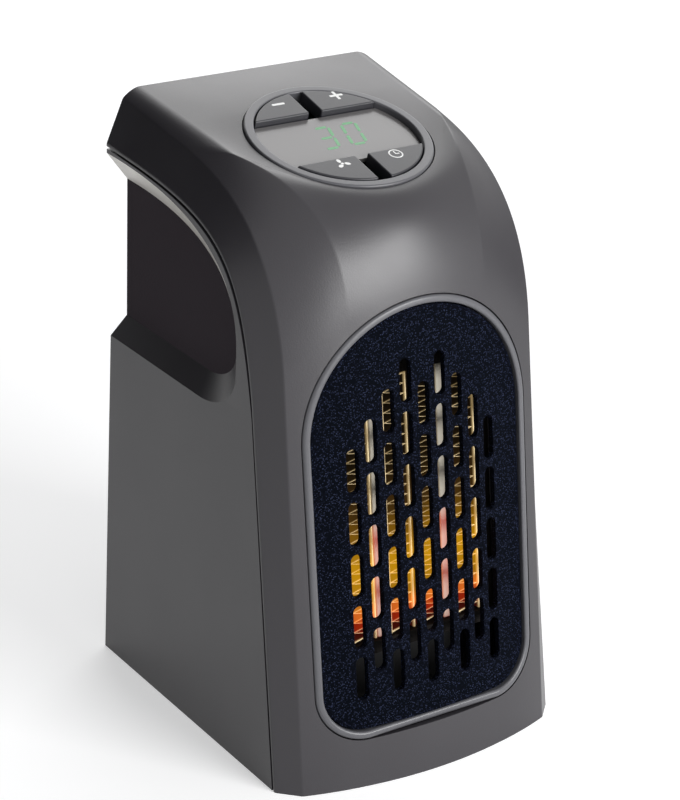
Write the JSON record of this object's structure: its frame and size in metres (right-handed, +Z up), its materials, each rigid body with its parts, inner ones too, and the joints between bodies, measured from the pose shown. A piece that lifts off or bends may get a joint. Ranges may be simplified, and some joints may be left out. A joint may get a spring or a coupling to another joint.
{
  "type": "plug-in fan heater",
  "caption": "Compact plug-in fan heater with an arched slotted outlet, sloped round control panel, finger recesses and a turning plug.",
  "frame": {"origin": "middle of the base, half-way between the front corners and the back plane", "axes": "+Z up, the outlet faces -Y, the plug points to +Y, the main switch is on +X"},
  "size_m": [0.0939, 0.1374, 0.1661],
  "materials": {
    "anthracite_plastic": "satin, fine grain",
    "grey_trim": "satin",
    "black_grille": "matte",
    "display_window": "gloss",
    "button_plastic": "satin",
    "circuit_board": "satin",
    "black_parts": "satin",
    "white_parts": "satin",
    "steel": "bright",
    "nickel_brass": "nickel plated",
    "fin_aluminium": "bright, folded",
    "heater_ceramic": "matte",
    "frame_plastic": "matte"
  },
  "bodies": {
    "heater": {"front_shell": "anthracite_plastic", "rear_housing": "anthracite_plastic", "back_cover": "anthracite_plastic", "bezel_ring": "grey_trim", "control_ring": "grey_trim", "front_grille": "black_grille", "display_window": "display_window", "control_board": "circuit_board", "power_board": "circuit_board", "fan_duct": "black_parts", "contact_carrier": "black_parts", "rocker_case": "black_parts", "display_module": "black_parts", "relay": "black_parts", "capacitor": "black_parts", "tact_switch_minus": "black_parts", "tact_switch_plus": "black_parts", "tact_switch_speed": "black_parts", "tact_switch_timer": "black_parts", "transformer": "white_parts", "fan_motor": "steel", "thermal_cutout": "steel", "cover_screw_1": "steel", "cover_screw_2": "steel", "cover_screw_3": "steel", "cover_screw_4": "steel", "duct_screw_1": "steel", "duct_screw_2": "steel", "duct_screw_3": "steel", "duct_screw_4": "steel", "slip_ring_inner": "nickel_brass", "slip_ring_outer": "nickel_brass", "fin_pack_1": "fin_aluminium", "fin_pack_2": "fin_aluminium", "fin_pack_3": "fin_aluminium", "fin_pack_4": "fin_aluminium", "ceramic_bar_1": "heater_ceramic", "ceramic_bar_2": "heater_ceramic", "element_frame": "frame_plastic"},
    "fan": {"fan_impeller": "black_parts", "motor_shaft": "steel"},
    "plug": {"plug_turret": "black_parts", "plug_pin_left": "nickel_brass", "plug_pin_right": "nickel_brass"},
    "rocker": {"rocker_key": "black_parts"},
    "minus_button": {"button_minus": "button_plastic"},
    "plus_button": {"button_plus": "button_plastic"},
    "speed_button": {"button_speed": "button_plastic"},
    "timer_button": {"button_timer": "button_plastic"}
  },
  "joints": [
    {"name": "fan_spin", "type": "hinge", "parent": "heater", "child": "fan", "pos_m": [0, -0.01059, 0.06631], "axis": [0, 0.9893, -0.1461], "continuous": true},
    {"name": "plug_turn", "type": "hinge", "parent": "heater", "child": "plug", "pos_m": [0, 0.048, 0.112], "axis": [0, 1, 0], "range_deg": [-90, 90]},
    {"name": "rocker_tip", "type": "hinge", "parent": "heater", "child": "rocker", "pos_m": [0.04506, 0.018, 0.024], "axis": [0, 1, 0], "range_deg": [-20, 0]},
    {"name": "minus_press", "type": "slide", "parent": "heater", "child": "minus_button", "axis": [0, 0.2334, -0.9724], "range_m": [0, 0.0006], "stiffness_N_per_m": 1500, "springref_m": -0.0006},
    {"name": "plus_press", "type": "slide", "parent": "heater", "child": "plus_button", "axis": [0, 0.2334, -0.9724], "range_m": [0, 0.0006], "stiffness_N_per_m": 1500, "springref_m": -0.0006},
    {"name": "speed_press", "type": "slide", "parent": "heater", "child": "speed_button", "axis": [0, 0.2334, -0.9724], "range_m": [0, 0.0006], "stiffness_N_per_m": 1500, "springref_m": -0.0006},
    {"name": "timer_press", "type": "slide", "parent": "heater", "child": "timer_button", "axis": [0, 0.2334, -0.9724], "range_m": [0, 0.0006], "stiffness_N_per_m": 1500, "springref_m": -0.0006}
  ]
}
